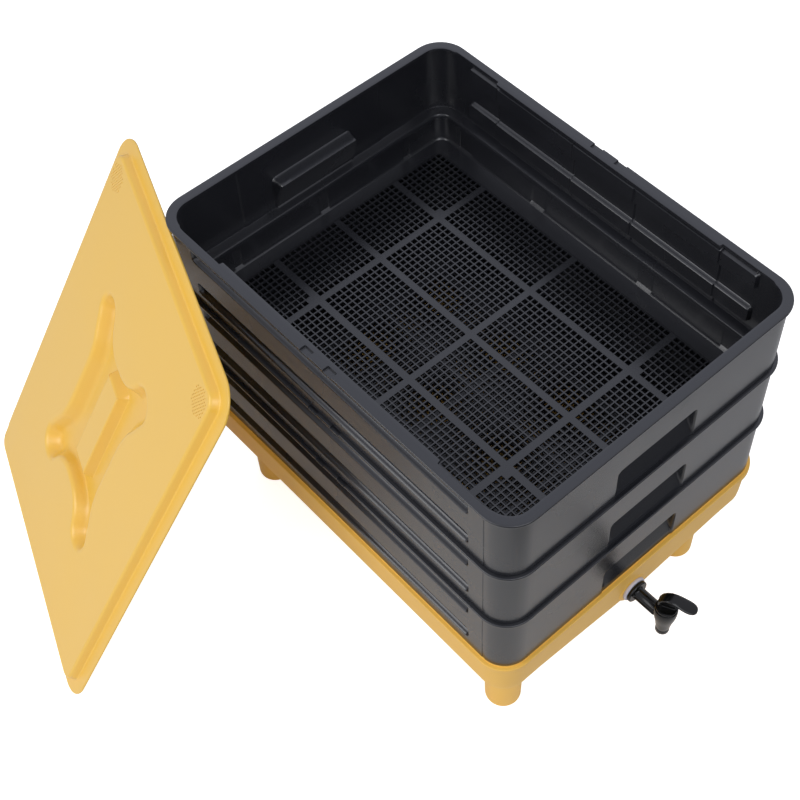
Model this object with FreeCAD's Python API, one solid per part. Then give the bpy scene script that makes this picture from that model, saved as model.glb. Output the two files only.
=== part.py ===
import FreeCAD, Part
import math
import os
from FreeCAD import Vector

# Stackable wormery: a collector tray on four push-in legs, three nesting mesh-floored
# trays, a lid that leans on the stack, and a drain tap.
# Millimetres, +Z up, the floor is z = 0, the origin is under the middle of the base.
# X is the short way, Y the long way, the tap is on the -Y side.
# "Inset" always means the distance in from the outline of the rims.

# Outline of every rim
RIM_X = 400.0
RIM_Y = 525.0
RIM_R = 35.0

# Stack
PITCH = 93.7            # rim top to rim top of two nested trays
LEDGE_Z = 188.2         # the face of the base that the bottom tray rests on
TRAY_COUNT = 3

# Tray
RIM_T = 3.5             # flange thickness
RIM_SHORT_W = 11.5      # flange width on the short sides
RIM_LONG_W = 13.5       # flange width along the middle of the long sides
RIM_LONG_END_W = 9.4    # flange width near the ends of the long sides
RIM_STEP_Y = 163.0      # where the flange width changes
MOUTH_R = 24.0
WALL_INSET = 3.5
WALL_T = 2.5
SHELF_T = 2.5           # the step at the foot of the wall, which rests on the rim below
NEST_GAP = 4.7          # spigot to the flange it drops through
SPIGOT_INSET = RIM_LONG_W + NEST_GAP
SPIGOT_T = 2.3
NEST_DEPTH = 37.3       # how far a tray drops into the one below
TRAY_H = PITCH + NEST_DEPTH
FLOOR_T = 2.4

# Grooves pressed into the long walls
GROOVE_DEPTH = 6.0
GROOVE_Y0 = -207.0
GROOVE_Y1 = 205.0
GROOVE_BANDS = [(-17.0, -4.0), (-68.0, -53.5)]
GROOVE_R = 4.0

# Small pockets in the middle of the long rims
POCKET_SPANS = [(-22.6, -10.0), (11.5, 24.0)]
POCKET_IN = 7.5
POCKET_DEEP = 2.0

# Finger recess in each short wall, open at the bottom
GRIP_HALF = 55.0
GRIP_TOP = -36.0
GRIP_R = 6.0
GRIP_SKIN = 2.3
GRIP_NEST_GAP = 0.8     # back of the recess to the spigot of the tray above
GRIP_BACK = SPIGOT_INSET - GRIP_NEST_GAP - GRIP_SKIN

# Mesh floor: wide ribs with windows between them
RIB_W = 8.4
RIB_X = [-87.2, 0.0, 87.2]
RIB_Y = [-146.0, 0.0, 146.0]
MESH_X = 155.0
MESH_Y = 222.0
BAR_W = 2.1
WINDOWS_X = 1
WINDOWS_Y = 2

# Base
LIP_TOP = 195.3
LIP_BOTTOM = 185.2
LIP_GAP = 0.4           # lip to the wall of the tray inside it
LIP_T = WALL_INSET - LIP_GAP
BASE_T = 2.8
BASE_TOP_INSET = 2.9
BASE_FOOT_INSET = 5.5
BASE_BOTTOM = 128.0
BASE_FLOOR_T = 3.0
BASE_EDGE = 4.0
SAG_DEPTH = 12.5        # the sump falls by this much towards the tap
SAG_HALF = 116.0
SAG_BACK_Y = 60.0

# Legs
LEG_X = 143.3
LEG_Y = 207.4
LEG_R = 21.5
SOCKET_R = 17.1
SOCKET_GAP = 0.1
SOCKET_H = 16.0
SOCKET_T = 2.4

# Tap
TAP_Z = 135.0
TAP_HOLE_R = 9.3
STUB_GAP = 0.3
STUB_R = TAP_HOLE_R - STUB_GAP
THREAD_GAP = 0.05
PAD_R = 17.0
PAD_FACE_Y = -258.6
PAD_INNER_Y = -253.6
WASHER_R = 15.5
WASHER_T = 3.8
FLANGE_R = 13.8
FLANGE_T = 4.8
INNER_WASHER_R = 14.0
INNER_WASHER_T = 2.0
NUT_R = 14.8
NUT_T = 5.2
STUB_PROUD = 1.0
BARREL_R = 7.3
BORE_R = 3.6
CUP_Y = -306.0
CUP_TOP_Z = 154.0
CUP_R = 13.0
CUP_WAIST_Z = 130.0
CUP_WAIST_R = 7.3
NECK_Z = 112.5
NOZZLE_R = 7.8
NOZZLE_TIP_Z = 104.0
PLUG_R = 5.8
PLUG_GAP = 0.05
PLUG_Z = 120.0
PLUG_END_GAP = 0.3

# Tap lever, drawn along -Y and then turned to the pictured angle
LEVER_TURN = 27.0
LEVER_W = 11.0
LEVER_T = 4.0
LEVER_REACH = 33.0
LEVER_TOP_Z = 175.0
LEVER_TIP_Z = 166.5
LEVER_BACK = 7.0
KEY_CAP_R = 11.6
KEY_CAP_T = 3.4
KEY_BAR_W = 5.0
KEY_BAR_L = 19.0
KEY_BAR_TOP_Z = 160.5

# Lid, drawn lying flat with its outer face at z = 0, then stood against the stack
LID_OVER = 4.0          # how far the lid reaches past the rims
LID_T = 2.5
LID_BORDER = 20.0
LID_RISE = 13.0
LID_DRAFT = 4.0
LID_R = 36.0
LID_RIB_GAP = 2.5       # locating rib to the flange it drops through
LID_RIB_T = 2.2
LID_RIB_H = 5.0
GRASP_HALF_U = 64.0
GRASP_HALF_V = 81.0
GRASP_DEEP = 17.0
ARM_U = 68.0
ARM_V = 110.0
ARM_R = 20.0
GRASP_BAR_W = 37.0
LID_FOOT = (-455.25, 296.4)
LID_TURN = -110.6
LID_LEAN = 29.0

HALF_X = RIM_X / 2
HALF_Y = RIM_Y / 2


def block(x0, x1, y0, y1, z0, z1):
    return Part.makeBox(x1 - x0, y1 - y0, z1 - z0, Vector(x0, y0, z0))


def edges_along(shape, axis):
    found = []
    for edge in shape.Edges:
        direction = edge.tangentAt(edge.FirstParameter)
        if abs(direction.dot(axis)) > 0.999:
            found.append(edge)
    return found


def rounded_block(x0, x1, y0, y1, z0, z1, radius, axis=Vector(0, 0, 1)):
    plain = block(x0, x1, y0, y1, z0, z1)
    return plain.makeFillet(radius, edges_along(plain, axis))


def outline_prism(inset, z0, z1, half_x=HALF_X, half_y=HALF_Y, corner=RIM_R):
    x = half_x - inset
    y = half_y - inset
    return rounded_block(-x, x, -y, y, z0, z1, max(corner - inset, 8.0))


def outline_wire(inset, z, half_x=HALF_X, half_y=HALF_Y, corner=RIM_R):
    thin = outline_prism(inset, z, z + 1.0, half_x, half_y, corner)
    for face in thin.Faces:
        if abs(face.CenterOfMass.z - z) < 1e-6:
            return face.OuterWire
    return None


def tapered_prism(inset_low, inset_high, z0, z1, half_x=HALF_X, half_y=HALF_Y, corner=RIM_R):
    low = outline_wire(inset_low, z0, half_x, half_y, corner)
    high = outline_wire(inset_high, z1, half_x, half_y, corner)
    return Part.makeLoft([low, high], True, True)


def rod(radius, start, end):
    axis = end - start
    return Part.makeCylinder(radius, axis.Length, start, axis)


def turned(profile, centre_x, centre_y):
    points = [Vector(centre_x + r, centre_y, z) for r, z in profile]
    face = Part.Face(Part.makePolygon(points + [points[0]]))
    return face.revolve(Vector(centre_x, centre_y, 0), Vector(0, 0, 1), 360)


def mouth(z0, z1):
    """The opening inside a rim flange, narrower along the middle of the long sides."""
    x_end = HALF_X - RIM_LONG_END_W
    x_mid = HALF_X - RIM_LONG_W
    y = HALF_Y - RIM_SHORT_W
    opening = rounded_block(-x_end, x_end, -y, y, z0, z1, MOUTH_R)
    for side in (-1, 1):
        edge = sorted([side * x_mid, side * (x_end + 1)])
        opening = opening.cut(block(edge[0], edge[1], -RIM_STEP_Y, RIM_STEP_Y, z0, z1))
    return opening


def mesh_windows(z0, z1):
    """Windows between the ribs of the mesh floor."""
    half_rib = RIB_W / 2
    windows = []
    spans_x = field_spans(RIB_X, MESH_X, half_rib, WINDOWS_X)
    spans_y = field_spans(RIB_Y, MESH_Y, half_rib, WINDOWS_Y)
    for x0, x1 in spans_x:
        for y0, y1 in spans_y:
            windows.append(block(x0, x1, y0, y1, z0, z1))
    return windows


def field_spans(ribs, limit, half_rib, count):
    stops = [-limit]
    for rib in ribs:
        stops += [rib - half_rib, rib + half_rib]
    stops.append(limit)
    spans = []
    for start, end in zip(stops[0::2], stops[1::2]):
        cell = (end - start + BAR_W) / count
        for i in range(count):
            spans.append((start + i * cell, start + (i + 1) * cell - BAR_W))
    return spans


def side_band(side, inset_out, inset_in, y0, y1, z0, z1, radius=0):
    """A bar along a long wall with its corners rounded in side view."""
    x = sorted([side * (HALF_X - inset_out), side * (HALF_X - inset_in)])
    if not radius:
        return block(x[0], x[1], y0, y1, z0, z1)
    return rounded_block(x[0], x[1], y0, y1, z0, z1, radius, Vector(1, 0, 0))


def grip_body(side, inset_out, inset_in, half, z0, z1, radius):
    """A block in a short wall with its upper corners rounded."""
    y = sorted([side * (HALF_Y - inset_out), side * (HALF_Y - inset_in)])
    plain = block(-half, half, y[0], y[1], z0, z1)
    top = [e for e in edges_along(plain, Vector(0, 1, 0)) if e.CenterOfMass.z > (z0 + z1) / 2]
    return plain.makeFillet(radius, top)


def make_tray():
    wall = outline_prism(WALL_INSET, -PITCH, -RIM_T)
    spigot = outline_prism(SPIGOT_INSET, -TRAY_H, -PITCH)
    tray = outline_prism(0, -RIM_T, 0).fuse([wall, spigot])

    shelf_z = -PITCH + SHELF_T
    tray = tray.cut([
        mouth(-RIM_T, 1.0),
        outline_prism(WALL_INSET + WALL_T, shelf_z, -RIM_T),
        outline_prism(SPIGOT_INSET + SPIGOT_T, -TRAY_H + FLOOR_T, shelf_z),
    ])

    ridges = []
    cuts = []
    for side in (-1, 1):
        for z0, z1 in GROOVE_BANDS:
            top = min(z1 + WALL_T, -RIM_T / 2)
            ridges.append(side_band(side, WALL_INSET + 1.0, WALL_INSET + GROOVE_DEPTH + WALL_T,
                                    GROOVE_Y0 - WALL_T, GROOVE_Y1 + WALL_T,
                                    z0 - WALL_T, top))
            cuts.append(side_band(side, -1.0, WALL_INSET + GROOVE_DEPTH,
                                  GROOVE_Y0, GROOVE_Y1, z0, z1, GROOVE_R))
        for y0, y1 in POCKET_SPANS:
            x = sorted([side * (HALF_X + 1.0), side * (HALF_X - POCKET_IN)])
            cuts.append(block(x[0], x[1], y0, y1, -POCKET_DEEP, 1.0))
        ridges.append(grip_body(side, WALL_INSET, GRIP_BACK + GRIP_SKIN, GRIP_HALF + GRIP_SKIN,
                                -PITCH, GRIP_TOP + GRIP_SKIN, GRIP_R))
        cuts.append(grip_body(side, -1.0, GRIP_BACK, GRIP_HALF, -PITCH - 1.0, GRIP_TOP, GRIP_R))
    tray = tray.fuse(ridges)
    tray = tray.cut(cuts + mesh_windows(-TRAY_H - 1.0, -TRAY_H + FLOOR_T + 1.0))
    return tray.removeSplitter()


def sag_body(front_y, grow):
    """A shallow trough under the floor: a large cylinder that dips towards the tap."""
    radius = (SAG_HALF ** 2 + SAG_DEPTH ** 2) / (2 * SAG_DEPTH)
    back = Vector(0, SAG_BACK_Y, BASE_BOTTOM + radius)
    front = Vector(0, front_y, BASE_BOTTOM - SAG_DEPTH + radius)
    trough = rod(radius + grow, front - (back - front), back + (back - front))
    slab = block(-SAG_HALF, SAG_HALF, front_y, SAG_BACK_Y, BASE_BOTTOM - 2 * SAG_DEPTH, BASE_BOTTOM + 4.0)
    return trough.common(slab)


def leg_places():
    return [
        ("leg_front_left", -LEG_X, -LEG_Y),
        ("leg_front_right", LEG_X, -LEG_Y),
        ("leg_rear_left", -LEG_X, LEG_Y),
        ("leg_rear_right", LEG_X, LEG_Y),
    ]


def make_base():
    floor_z = BASE_BOTTOM + BASE_FLOOR_T
    body = tapered_prism(BASE_FOOT_INSET, BASE_TOP_INSET, BASE_BOTTOM, LIP_BOTTOM)
    low = [e for e in body.Edges if e.BoundBox.ZMax < BASE_BOTTOM + 0.01]
    body = body.makeChamfer(BASE_EDGE, low)
    front_y = -(HALF_Y - BASE_FOOT_INSET)
    sump = sag_body(front_y, 0)
    pad = rod(PAD_R, Vector(0, PAD_FACE_Y, TAP_Z), Vector(0, PAD_INNER_Y, TAP_Z))
    body = body.fuse([outline_prism(0, LIP_BOTTOM, LIP_TOP), sump])

    under_ledge = LEDGE_Z - RIM_T
    body = body.cut([
        outline_prism(LIP_T, LEDGE_Z, LIP_TOP + 1.0),
        mouth(under_ledge, LEDGE_Z),
        outline_prism(BASE_FOOT_INSET + BASE_T, floor_z, under_ledge),
        sag_body(front_y, -BASE_FLOOR_T).common(
            block(-HALF_X, HALF_X, front_y + BASE_T, HALF_Y, 0, floor_z + 0.5)),
    ])
    bosses = []
    holes = [rod(TAP_HOLE_R, Vector(0, PAD_FACE_Y - 1, TAP_Z), Vector(0, PAD_INNER_Y + 1, TAP_Z))]
    for _, x, y in leg_places():
        foot = Vector(x, y, BASE_BOTTOM)
        roof = Vector(x, y, BASE_BOTTOM + SOCKET_H)
        half = SOCKET_R + SOCKET_T
        bosses.append(block(x - half, x + half, y - half, y + half,
                            BASE_BOTTOM + 1.0, BASE_BOTTOM + SOCKET_H + SOCKET_T))
        holes.append(rod(SOCKET_R, foot - Vector(0, 0, 1), roof))
    return body.fuse(bosses + [pad]).cut(holes).removeSplitter()


def make_leg(x, y):
    top = BASE_BOTTOM
    leg = rod(LEG_R, Vector(x, y, 0), Vector(x, y, top))
    spigot_top = Vector(x, y, top + SOCKET_H - 1.0)
    return leg.fuse(rod(SOCKET_R - SOCKET_GAP, Vector(x, y, top), spigot_top))


def make_tap_body():
    washer_back = PAD_FACE_Y - WASHER_T
    flange_back = washer_back - FLANGE_T
    stub_end = PAD_INNER_Y + INNER_WASHER_T + NUT_T + STUB_PROUD
    stub = rod(STUB_R, Vector(0, washer_back, TAP_Z), Vector(0, stub_end, TAP_Z))
    flange = rod(FLANGE_R, Vector(0, flange_back, TAP_Z), Vector(0, washer_back, TAP_Z))
    barrel = rod(BARREL_R, Vector(0, CUP_Y + PLUG_R, TAP_Z), Vector(0, flange_back, TAP_Z))
    cup = turned([
        (0, NOZZLE_TIP_Z),
        (NOZZLE_R, NOZZLE_TIP_Z),
        (NOZZLE_R, NECK_Z),
        (CUP_WAIST_R, NECK_Z),
        (CUP_WAIST_R, CUP_WAIST_Z),
        (CUP_R, CUP_TOP_Z - 8.0),
        (CUP_R, CUP_TOP_Z),
        (0, CUP_TOP_Z),
    ], 0, CUP_Y)
    tap = cup.fuse([flange, barrel, stub])
    seat = Vector(0, CUP_Y, CUP_TOP_Z)
    return tap.cut([
        rod(PLUG_R, Vector(0, CUP_Y, PLUG_Z), seat + Vector(0, 0, 1)),
        rod(BORE_R, Vector(0, CUP_Y, NOZZLE_TIP_Z - 1), Vector(0, CUP_Y, PLUG_Z + 1)),
        rod(BORE_R, Vector(0, CUP_Y, TAP_Z), Vector(0, stub_end + 1, TAP_Z)),
    ]).removeSplitter()


def make_tap_key():
    """Plug, grip bar and lever in one moulding, drawn with the lever along -Y."""
    plug_r = PLUG_R - PLUG_GAP
    cap_z = CUP_TOP_Z + PLUG_END_GAP
    cap_top = cap_z + KEY_CAP_T
    plug = rod(plug_r, Vector(0, CUP_Y, PLUG_Z + PLUG_END_GAP), Vector(0, CUP_Y, cap_z))
    cap = rod(KEY_CAP_R, Vector(0, CUP_Y, cap_z), Vector(0, CUP_Y, cap_top))
    bar = block(-KEY_BAR_L / 2, KEY_BAR_L / 2, CUP_Y - KEY_BAR_W / 2, CUP_Y + KEY_BAR_W / 2,
                cap_top - 1.0, KEY_BAR_TOP_Z)
    tip_y = CUP_Y - LEVER_REACH
    back_y = CUP_Y + LEVER_BACK
    side = [
        (back_y + LEVER_T / 2, cap_top - 1.0),
        (back_y + LEVER_T / 2, LEVER_TOP_Z - 5.0),
        (back_y - 2.0, LEVER_TOP_Z),
        (CUP_Y - 6.0, LEVER_TOP_Z),
        (tip_y, LEVER_TIP_Z + LEVER_T / 2),
        (tip_y, LEVER_TIP_Z - LEVER_T / 2),
        (CUP_Y - 6.0, LEVER_TOP_Z - LEVER_T),
        (back_y - 3.5, LEVER_TOP_Z - LEVER_T),
        (back_y - LEVER_T / 2, LEVER_TOP_Z - 7.0),
        (back_y - LEVER_T / 2, cap_top - 1.0),
    ]
    points = [Vector(-LEVER_W / 2, y, z) for y, z in side]
    lever = Part.Face(Part.makePolygon(points + [points[0]])).extrude(Vector(LEVER_W, 0, 0))
    plan = rounded_block(-LEVER_W / 2, LEVER_W / 2, tip_y, back_y + LEVER_T, 140.0, 190.0, LEVER_W / 2 - 0.01)
    lever = lever.common(plan)
    port = rod(BORE_R, Vector(0, CUP_Y, PLUG_Z - 1), Vector(0, CUP_Y, TAP_Z + BORE_R))
    inlet = block(-BORE_R, BORE_R, CUP_Y, CUP_Y + PLUG_R + 1, TAP_Z - BORE_R, TAP_Z + BORE_R)
    key = plug.fuse([cap, bar, lever]).cut([port, inlet]).removeSplitter()
    key.rotate(Vector(0, CUP_Y, 0), Vector(0, 0, 1), LEVER_TURN)
    return key


def ring(outer, inner, y0, y1):
    start = Vector(0, y0, TAP_Z)
    end = Vector(0, y1, TAP_Z)
    return rod(outer, start, end).cut(rod(inner, start - Vector(0, 1, 0), end + Vector(0, 1, 0)))


def make_nut():
    y0 = PAD_INNER_Y + INNER_WASHER_T
    points = []
    for i in range(7):
        a = math.radians(60 * i)
        points.append(Vector(NUT_R * math.cos(a), y0, TAP_Z + NUT_R * math.sin(a)))
    nut = Part.Face(Part.makePolygon(points)).extrude(Vector(0, NUT_T, 0))
    bore = rod(STUB_R + THREAD_GAP, Vector(0, y0 - 1, TAP_Z), Vector(0, y0 + NUT_T + 1, TAP_Z))
    return nut.cut(bore)


def grasp_body(grow, z0, z1):
    """Hollow of the lid: a block with a round-ended arm at each corner."""
    u = GRASP_HALF_U + grow
    v = GRASP_HALF_V + grow
    body = rounded_block(-u, u, -v, v, z0, z1, 18.0)
    for su in (-1, 1):
        for sv in (-1, 1):
            end = Vector(su * ARM_U, sv * ARM_V, z0)
            start = Vector(su * (ARM_U - 24.0), sv * (ARM_V - 48.0), z0)
            body = body.fuse(arm(start, end, ARM_R + grow, z1 - z0))
    return body


def arm(start, end, radius, height):
    along = end - start
    across = Vector(-along.y, along.x, 0).normalize() * radius
    corners = [start + across, end + across, end - across, start - across, start + across]
    bar = Part.Face(Part.makePolygon(corners)).extrude(Vector(0, 0, height))
    return bar.fuse(Part.makeCylinder(radius, height, end))


def make_lid():
    half_x = HALF_X + LID_OVER
    half_y = HALF_Y + LID_OVER
    size = (half_x, half_y, LID_R)
    flange = outline_prism(0, -LID_T, 0, *size)
    panel = tapered_prism(LID_BORDER, LID_BORDER + LID_DRAFT, 0, LID_RISE, *size)
    hollow = tapered_prism(LID_BORDER + LID_T, LID_BORDER + LID_DRAFT + LID_T,
                           -LID_T, LID_RISE - LID_T, *size)
    floor_z = LID_RISE - GRASP_DEEP
    shell = flange.fuse(panel).cut(hollow)
    shell = shell.fuse(grasp_body(LID_T, floor_z - LID_T, LID_RISE - LID_T / 2))
    shell = shell.cut(grasp_body(0, floor_z, LID_RISE + 1))
    half_bar = GRASP_BAR_W / 2
    reach = GRASP_HALF_V + LID_T / 2
    bar = block(-half_bar, half_bar, -reach, reach, floor_z - LID_T, LID_RISE)
    bar_hollow = block(-half_bar + LID_T, half_bar - LID_T, -GRASP_HALF_V + LID_T, GRASP_HALF_V - LID_T,
                       floor_z - LID_T, LID_RISE - LID_T)
    rib_inset = LID_OVER + RIM_LONG_W + LID_RIB_GAP
    rib = outline_prism(rib_inset, -LID_T - LID_RIB_H, -LID_T / 2, *size)
    rib = rib.cut(outline_prism(rib_inset + LID_RIB_T, -LID_T - LID_RIB_H - 1, 1, *size))
    lid = shell.fuse(bar).cut(bar_hollow).fuse(rib).removeSplitter()

    turn = math.radians(LID_TURN)
    lean = math.radians(LID_LEAN)
    u = Vector(math.cos(turn), math.sin(turn), 0)
    h = Vector(-math.sin(turn), math.cos(turn), 0)
    v = h * math.sin(lean) + Vector(0, 0, math.cos(lean))
    n = u.cross(v)
    foot = Vector(LID_FOOT[0], LID_FOOT[1], LID_T * n.z)
    centre = foot + v * half_y
    lid.Placement = FreeCAD.Placement(FreeCAD.Matrix(
        u.x, v.x, n.x, centre.x,
        u.y, v.y, n.y, centre.y,
        u.z, v.z, n.z, centre.z,
        0, 0, 0, 1))
    return lid


def moved(shape, dx, dy, dz):
    copy = shape.copy()
    copy.translate(Vector(dx, dy, dz))
    return copy


parts = {"base": make_base()}
for name, leg_x, leg_y in leg_places():
    parts[name] = make_leg(leg_x, leg_y)

tray = make_tray()
for level in range(1, TRAY_COUNT + 1):
    parts["tray_%d" % level] = moved(tray, 0, 0, LEDGE_Z + level * PITCH)

parts["lid"] = make_lid()
parts["tap_washer"] = ring(WASHER_R, TAP_HOLE_R, PAD_FACE_Y - WASHER_T, PAD_FACE_Y)
parts["tap_body"] = make_tap_body()
parts["tap_key"] = make_tap_key()
parts["tap_inner_washer"] = ring(INNER_WASHER_R, TAP_HOLE_R, PAD_INNER_Y, PAD_INNER_Y + INNER_WASHER_T)
parts["tap_nut"] = make_nut()

os.makedirs("parts", exist_ok=True)
for name, shape in parts.items():
    shape.exportStep("parts/%s.step" % name)
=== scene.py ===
import math
from collections import namedtuple

import bmesh
import bpy
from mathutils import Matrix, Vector
from mathutils.geometry import tessellate_polygon


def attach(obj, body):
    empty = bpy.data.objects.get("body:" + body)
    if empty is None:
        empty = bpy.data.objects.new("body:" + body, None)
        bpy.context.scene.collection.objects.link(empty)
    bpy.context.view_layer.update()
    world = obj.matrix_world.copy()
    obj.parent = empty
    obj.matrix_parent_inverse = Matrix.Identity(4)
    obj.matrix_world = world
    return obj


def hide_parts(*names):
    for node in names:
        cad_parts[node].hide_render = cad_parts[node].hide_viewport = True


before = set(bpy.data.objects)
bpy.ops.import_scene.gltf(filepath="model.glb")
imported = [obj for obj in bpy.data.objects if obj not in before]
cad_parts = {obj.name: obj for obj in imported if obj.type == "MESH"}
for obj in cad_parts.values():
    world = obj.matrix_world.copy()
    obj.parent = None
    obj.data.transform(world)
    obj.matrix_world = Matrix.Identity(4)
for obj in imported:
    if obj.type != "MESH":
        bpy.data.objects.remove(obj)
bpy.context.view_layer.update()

# A wormery: three nesting trays with mesh floors on a collector base with four legs and a tap,
# and its lid, taken off and leaning on the stack.
# Sizes are millimetres, and make_object turns them to metres. The ground is z = 0, X is the
# short way, Y the long way, and the tap is on the -Y side.
# An inset is a distance in from an outline, and where no other is named it is that of the rims.
# A tray is drawn with its rim top at z = 0.

MM = 0.001

# Outline of the rims, and the stack
HALF_X, HALF_Y, RIM_R = 200.0, 262.5, 35.0
STRAIGHT_X, STRAIGHT_Y = HALF_X - RIM_R, HALF_Y - RIM_R
PITCH = 93.7            # rim top to rim top of two nested trays
LEDGE_Z = 188.2         # the face of the base that the bottom tray stands on
TRAY_COUNT = 3
RIM_TOP = LEDGE_Z + TRAY_COUNT * PITCH
RIM_T = 3.5
RIM_LONG_W, RIM_SHORT_W = 13.5, 11.5
RIM_END_W = 9.4         # width of the long rims past their step
RIM_STEP_Y = 160.0
RIM_CORNER_Y = (224.0, 232.0)
LONG_SIDES, SHORT_SIDES = ("+x", "-x"), ("+y", "-y")

# Walls, step and floor of a tray
TRAY_H, FLOOR_T = 131.0, 2.4
TRAY_BOTTOM, TRAY_FLOOR = -TRAY_H, -TRAY_H + FLOOR_T
SHELF = -PITCH          # underside of the step that stands on the rim below
WALL_FOOT = SHELF + 0.9
SPIGOT = 18.2           # inset of the narrow part below the step
WALL_OUT, WALL_IN, WALL_LEAN = 3.5, 6.0, 0.5
SEAM_Y, SEAM_DEEP = 227.3, 0.6      # a fine groove near each end of a long wall
# The inside steps in at each upright line of a long wall, and at the middle panel of a short one
WALL_LINES_Y, WALL_STEPS, LINE_DEEP = (44.5, 161.0), (0.5, 0.8), 1.2
END_PANEL_X, END_PANEL_STEP = 98.0, 0.8

# Grooves pressed into the long walls
GROOVES = ((-28.0, -9.0), (-79.0, -60.5))
GROOVE_Y = (-207.0, 205.0)
GROOVE_DEEP, GROOVE_R = 5.4, 5.5
GROOVE_SKIN = 2.2

# Finger recess in each short wall, open at its foot
GRIP_HALF, GRIP_TOP, GRIP_R = 54.5, -48.5, 7.0
GRIP_BACK, GRIP_FOOT = 19.0, 4.7
GRIP_SKIN = 2.4
GRIP_REACH = 100.0      # half height of the recess's form, which runs out below the wall

# Pockets in the middle of the long rims
RIM_POCKETS = ((-22.6, -10.0), (11.5, 24.0))
RIM_POCKET_DEEP = 2.6

# Shallow pockets inside, under the step
STEP_POCKETS_Y = ((71.0, 92.0), (190.0, 211.0))
STEP_POCKETS_X = ((-0.5, 6.0), (118.0, 128.0))
STEP_POCKET_DEEP = 0.45

# Two staggered rows of tiny holes under the short rims
VENT_X, VENT_Z = (108.0, 144.0), (-12.0, -4.0)
VENT_ROWS_Z = (-6.2, -9.6)
VENT_FIRST_X, VENT_STEP, VENT_COUNT, VENT_DEEP = 110.5, 3.8, 9, 1.6

# Mesh of the floor
RIBS_X, RIBS_Y, RIB_HALF = (-87.2, 0.0, 87.2), (-146.0, 0.0, 146.0), 4.2
CELL, BAR = 7.35, 1.5
CELLS_X, CELLS_Y = (9, 11, 11, 9), (10, 19, 19, 10)
CLOSED_X, CLOSED_Y = (91.0, 97.0), (150.0, 156.0)

# Base
BASE_BOTTOM, BASE_RIM, BASE_BAND = 128.0, 186.4, 6.9
BASE_FOOT_INSET, BASE_TOP_INSET, BASE_WALL_H = 5.5, 2.9, 57.2
BASE_EDGE = 6.0         # radius of its lower edge
BASE_IN = 8.3
BASE_FLOOR_T = 3.0
FLOOR_X, FLOOR_Y = 154.0, 216.0
SEAT, SEAT_STEP, SEAT_MOST = 3.95, 1.2, 5.2
SEAT_HALF = 56.0        # the seat steps in under the finger recess of the bottom tray
SAG_DEPTH, SAG_HALF, SAG_BACK, FRONT_Y = 14.5, 140.0, 60.0, -257.0

# Legs
LEG_X, LEG_Y = 143.3, 207.4
LEG_FOOT_R, LEG_EDGE = 16.0, 4.6

# Lid, drawn lying flat with the top of its border at z = 0
LID_T, BORDER, DRAFT, RISE = 2.5, 17.0, 3.0, 10.0
GRASP_AT = (2.0, 2.0)
GRASP_U, GRASP_V, GRASP_R, GRASP_DEEP = 62.0, 88.0, 16.0, 15.5
ARM_FROM, ARM_TO, ARM_R = (42.0, 60.0), (66.5, 107.5), 19.5
BAR_U, BAR_V, BAR_R, BAR_DROP = 23.0, 71.0, 7.0, 4.0
BAR_END_SLOPE = 1.6
LID_FLOOR = RISE - GRASP_DEEP
PANEL_INSET = 22.9      # where the raised panel is flat
UNDER_INSET = 27.0
RIB_INSET, RIB_T, RIB_H = 16.0, 2.2, 5.0
LID_VENT_U, LID_VENT_V, LID_VENT_R = 160.0, 220.6, 16.2

# How the lid leans: its turn about Z, how far its upper edge is below the top of the rims, how
# far it stands to the side, and the gap left at the corner of the top tray
LID_TURN, LID_BELOW_RIM, LID_SIDEWAYS, LID_GAP = -110.93, 9.9, 35.5, 0.5

# Tap
TAP_Z, CUP_Y = 135.0, -306.0
PAD_Y, WASHER_T = -258.6, 3.8
WASHER_BACK = PAD_Y - WASHER_T
KEY_TURN = 27.0


# Helpers

Column = namedtuple("Column", "x y nx ny side along", defaults=("corner", 0.0))
CLOSEST = 0.28          # columns and rows nearer than this are merged
ROUND_STEPS = 48


def smooth(low, high, x):
    """0 below low, 1 above high, with a soft step between."""
    t = min(max((x - low) / (high - low), 0.0), 1.0)
    return t * t * (3 - 2 * t)


def fade(low, high, x):
    """1 below low, 0 above high, with a soft step between."""
    return 1 - smooth(low, high, x)


def within(start, end, x, outside, inside):
    """1 between start and end, with soft ends that reach outside and inside them."""
    return smooth(start - outside, start + inside, x) * fade(end - inside, end + outside, x)


def box_distance(x, y, centre_x, centre_y, half_x, half_y, radius):
    """Signed distance to a rounded rectangle."""
    out_x = abs(x - centre_x) - half_x + radius
    out_y = abs(y - centre_y) - half_y + radius
    outside = math.hypot(max(out_x, 0.0), max(out_y, 0.0))
    return outside + min(max(out_x, out_y), 0.0) - radius


def stations(low, high, step, fine=()):
    """Sorted places from low to high, closer together about each (centre, half, step) of fine."""
    places = {round(low, 3), round(high, 3)}
    count = max(1, round((high - low) / step))
    for i in range(count + 1):
        places.add(round(low + (high - low) * i / count, 3))
    for centre, half, small in fine:
        x = centre - half
        while x <= centre + half + 1e-6:
            if low <= x <= high:
                places.add(round(x, 3))
            x += small
    merged = []
    for x in sorted(places):
        if not merged or x - merged[-1] >= CLOSEST:
            merged.append(x)
    merged[-1] = high
    return merged


def both_sides(places, half, step):
    """Fine stations about places on both sides of the middle."""
    return [(side * place, half, step) for place in places for side in (-1, 1)]


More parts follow.
